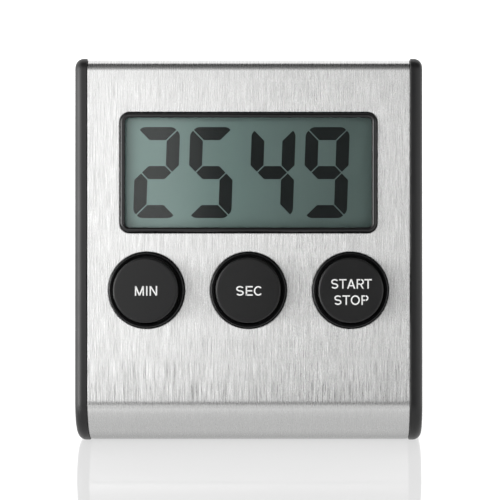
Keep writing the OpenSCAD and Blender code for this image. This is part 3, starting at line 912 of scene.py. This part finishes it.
def digit(index, figure, x):
    """One lit figure of the display, as thin dark segments between the window and the film."""
    bm = bmesh.new()
    shapes = segments()
    for letter in LIT[figure]:
        outline = [
            Vector((x + p.x + DIGIT_SLANT * p.y, DISPLAY_AT.y + p.y + DIGIT_LIFT))
            for p in shapes[letter]
        ]
        loft(bm, [ring(bm, outline, -DIGIT_DEPTH), ring(bm, outline, -DIGIT_DEPTH + INK_T)])
    return piece(f"lcd_digit_{index}", bm, MATERIALS["lcd_ink"], "case", matrix=FACE)


for index, (figure, x) in enumerate(zip("2549", DIGIT_XS)):
    digit(index + 1, figure, x)

# ---------------------------------------------------------------- rear and insides


EDGE_ROUND = 0.12 * MM


def moulding(node, body):
    """A CAD moulding with its edges rounded."""
    slot = SLOT_OF[node]
    obj = piece(node + "_moulding", copy_of(node), MATERIALS[slot], body, [node])
    soften(obj, EDGE_ROUND)


moulding("rear_cover", "case")
moulding("battery_door", "battery_door")


def key_dome(key):
    """The rubber dome under a button."""
    node = key + "_key_dome"
    bm = copy_of(node)
    obj = piece(key + "_soft_dome", bm, MATERIALS[SLOT_OF[node]], "case", [node])
    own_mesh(obj)


for key in KEYS:
    key_dome(key)

# The CAD nodes that no piece stands in for keep their shape
for node, obj in frame["nodes"].items():
    if not obj.hide_render:
        obj.data.materials.clear()
        obj.data.materials.append(MATERIALS[SLOT_OF[node]])

# ---------------------------------------------------------------- studio

# How brightly the table glows near the timer
FLOOR_GLOW = 0.64
FRONT_LIGHT_SIZE = 1200 * MM
FRONT_LIGHT_AWAY = 200 * MM
# Brightness over the diffuser, from left to right and from the table up, as shares of its size
ACROSS_STOPS = (
    (0.0, 0.6), (0.3, 0.6), (0.42, 1.3), (0.474, 1.42), (0.485, 0.36), (0.492, 0.1), (0.542, 0.1),
    (0.575, 0.72), (1.0, 0.72),
)
OVER_STOPS = (
    (0.0, 0.0), (0.019, 0.0), (0.033, 1.0), (0.12, 1.0), (0.14, 0.86), (0.17, 0.62), (0.2, 0.42),
    (0.26, 0.22), (0.36, 0.08), (0.5, 0.03), (0.8, 0.0),
)
# Brightness of the room by the angle over the object, as a share of the half turn
ROOM_OVER_STOPS = (
    (0.0, 0.03), (0.4, 0.03), (0.51, 0.03), (0.54, 1.1), (0.62, 1.35), (0.87, 1.35), (0.9, 2.4),
)
# Its brightness from left to right, as shares of the way across
ROOM_ACROSS_STOPS = ((0.0, 0.25), (0.12, 0.25), (0.3, 1.0), (0.7, 1.0), (0.88, 0.25), (1.0, 0.25))
# Brightness of the low side lights round the object, as shares of the full turn
SIDE_LIGHT_STOPS = (
    (0.0, 0.0), (0.11, 0.5), (0.18, 0.8), (0.225, 1.6), (0.265, 4.0), (0.3, 6.2), (0.345, 5.2),
    (0.39, 2.0), (0.43, 0.3), (0.46, 0.0), (0.54, 0.0), (0.62, 0.2), (0.7, 0.9), (0.8, 0.9),
    (0.9, 0.6), (1.0, 0.0),
)
# Brightness of the light high on the left
KEY_LIGHT = 1.2

CAMERA_DISTANCE = 360 * MM
# Width of the view at the steel's face, and where the camera's axis meets the face
VIEW_W = 93.19 * MM
CAMERA_AXIS = (10.6 * MM, 22.8 * MM)
CAMERA_SHIFT = (-0.1109, 0.0602)


class Light(Nodes):
    """The nodes of something that only gives light."""

    def __init__(self, tree, output):
        self.tree = tree
        self.tree.nodes.clear()
        self.output = self.add(output)

    def curve(self, value, stops):
        """A number that follows (place, height) stops, for a value between 0 and 1."""
        node = self.add("ValToRGB")
        elements = node.color_ramp.elements
        while len(elements) > 1:
            elements.remove(elements[-1])
        top = max(height for place, height in stops)
        for i, (place, height) in enumerate(stops):
            stop = elements[0] if i == 0 else elements.new(place)
            stop.position = place
            stop.color = (height / top,) * 3 + (1,)
        self.link(value, node, 0)
        return self.number("MULTIPLY", node.outputs[0], float(top))


def stage_object(name, bm):
    mesh = bpy.data.meshes.new(name)
    bm.to_mesh(mesh)
    bm.free()
    obj = bpy.data.objects.new(name, mesh)
    bpy.context.scene.collection.objects.link(obj)
    return obj


def floor():
    """A pale glossy table that carries a faint mirror image."""
    bm = bmesh.new()
    bmesh.ops.create_grid(bm, x_segments=8, y_segments=8, size=4.0)
    n = Nodes("floor")
    shader = n.shader(Roughness=0.02, IOR=1.28, Emission_Color=(1, 1, 1, 1))
    at = n.coordinates()
    n.link(n.ramp(n.noise(at, 3.0, 2), 0.17, 0.19), shader, "Base Color")
    # It glows like a lit table, more so far off: painted light, with a painted shadow where the glow is less under
    # the timer
    apart = n.add("SeparateXYZ")
    n.link(at, apart, 0)
    far = n.between(n.vector_length(at), 0.5, 1.6, FLOOR_GLOW, 1.05)
    # Painted shadow: the glow drops under the timer, between its foot and its rear
    under = n.between(apart.outputs[1], FOOT_C.y - 1 * MM, FOOT_C.y, 1.0, 0.3)
    beyond = n.between(apart.outputs[1], REAR_Y - 2 * MM, REAR_Y, 0.0, 1.0)
    off_middle = n.number("ABSOLUTE", apart.outputs[0], 0.0)
    beside = n.between(off_middle, SHELL_HALF_W - 1 * MM, SHELL_HALF_W, 0.0, 1.0)
    clear = n.number("MAXIMUM", under, n.number("MAXIMUM", beyond, beside))
    n.link(n.number("MULTIPLY", far, clear), shader, "Emission Strength")
    stage_object("floor", bm).data.materials.append(n.material)


def front_light():
    """A tall diffuser in front, strong on the left, weaker on the right, nearly dark between."""
    half = FRONT_LIGHT_SIZE / 2
    bm = bmesh.new()
    bmesh.ops.create_grid(bm, x_segments=1, y_segments=1, size=half)
    turn = Matrix.Rotation(math.pi / 2, 4, "X")
    bm.transform(Matrix.Translation((0, FACE_LOW.y - FRONT_LIGHT_AWAY, half)) @ turn)
    material = bpy.data.materials.new("front_light")
    material.use_nodes = True
    n = Light(material.node_tree, "OutputMaterial")
    apart = n.add("SeparateXYZ")
    n.link(n.coordinates(), apart, 0)
    across = n.number("ADD", n.number("DIVIDE", apart.outputs[0], FRONT_LIGHT_SIZE), 0.5)
    over = n.number("DIVIDE", apart.outputs[2], FRONT_LIGHT_SIZE)
    glow = n.add("Emission")
    n.link(n.number("MULTIPLY", n.curve(across, ACROSS_STOPS), n.curve(over, OVER_STOPS)), glow, "Strength")
    both = n.add("AddShader")
    n.link(glow.outputs[0], both, 0)
    n.link(n.add("BsdfTransparent").outputs[0], both, 1)
    n.link(both.outputs[0], n.output, "Surface")
    obj = stage_object("front_light", bm)
    obj.data.materials.append(material)
    obj.visible_camera = False
    obj.visible_shadow = False


def room_light():
    """A white room: a bright wall behind, side lights, and darkness in front above the table."""
    world = bpy.data.worlds.new("studio")
    bpy.context.scene.world = world
    world.use_nodes = True
    n = Light(world.node_tree, "OutputWorld")
    apart = n.add("SeparateXYZ")
    n.link(n.add("TexCoord").outputs["Generated"], apart, 0)
    x, y, z = apart.outputs
    # 0 at the horizon in front, 0.5 overhead, 1 at the horizon behind
    over = n.number("DIVIDE", n.number("ARCTAN2", z, n.number("MULTIPLY", y, -1.0)), math.pi)
    across = n.number("ADD", n.number("MULTIPLY", x, 0.5), 0.5)
    walls = n.number("MULTIPLY", n.curve(over, ROOM_OVER_STOPS), n.curve(across, ROOM_ACROSS_STOPS))
    # 0 and 1 straight behind, 0.25 on the left, 0.5 in front
    about = n.number("ADD", n.number("DIVIDE", n.number("ARCTAN2", x, n.number("MULTIPLY", y, -1.0)),
                                     2 * math.pi), 0.5)
    low = n.between(z, 0.3, 0.5, 1.0, 0.0)
    left = n.between(across, 0.14, 0.3, KEY_LIGHT, 0.0)
    key = n.number("MULTIPLY", left, n.between(z, 0.35, 0.5, 0.0, 1.0))
    sides = n.number("ADD", n.number("MULTIPLY", n.curve(about, SIDE_LIGHT_STOPS), low), key)
    light = n.number("ADD", walls, sides)
    lit = n.add("Background")
    n.link(light, lit, "Strength")
    plain = n.add("Background", Strength=1.0)
    mix = n.add("MixShader")
    n.link(n.add("LightPath").outputs["Is Camera Ray"], mix, 0)
    n.link(lit.outputs[0], mix, 1)
    n.link(plain.outputs[0], mix, 2)
    n.link(mix.outputs[0], n.output, "Surface")
    for background in (lit, plain):
        background.inputs["Color"].default_value = (1, 1, 1, 1)


def camera():
    """Looks square at the front from right of its middle and below it, with the view shifted back."""
    data = bpy.data.cameras.new("camera")
    obj = bpy.data.objects.new("camera", data)
    bpy.context.scene.collection.objects.link(obj)
    data.sensor_width = 36
    data.lens = data.sensor_width * CAMERA_DISTANCE / VIEW_W
    data.clip_start = 0.01
    obj.location = FACE @ Vector((CAMERA_AXIS[0], CAMERA_AXIS[1], CAMERA_DISTANCE))
    obj.rotation_euler = (math.pi / 2 - LEAN, 0, 0)
    data.shift_x, data.shift_y = CAMERA_SHIFT
    bpy.context.scene.camera = obj


floor()
front_light()
room_light()
camera()
bpy.context.scene.view_settings.view_transform = "Standard"
bpy.context.scene.view_settings.look = "None"
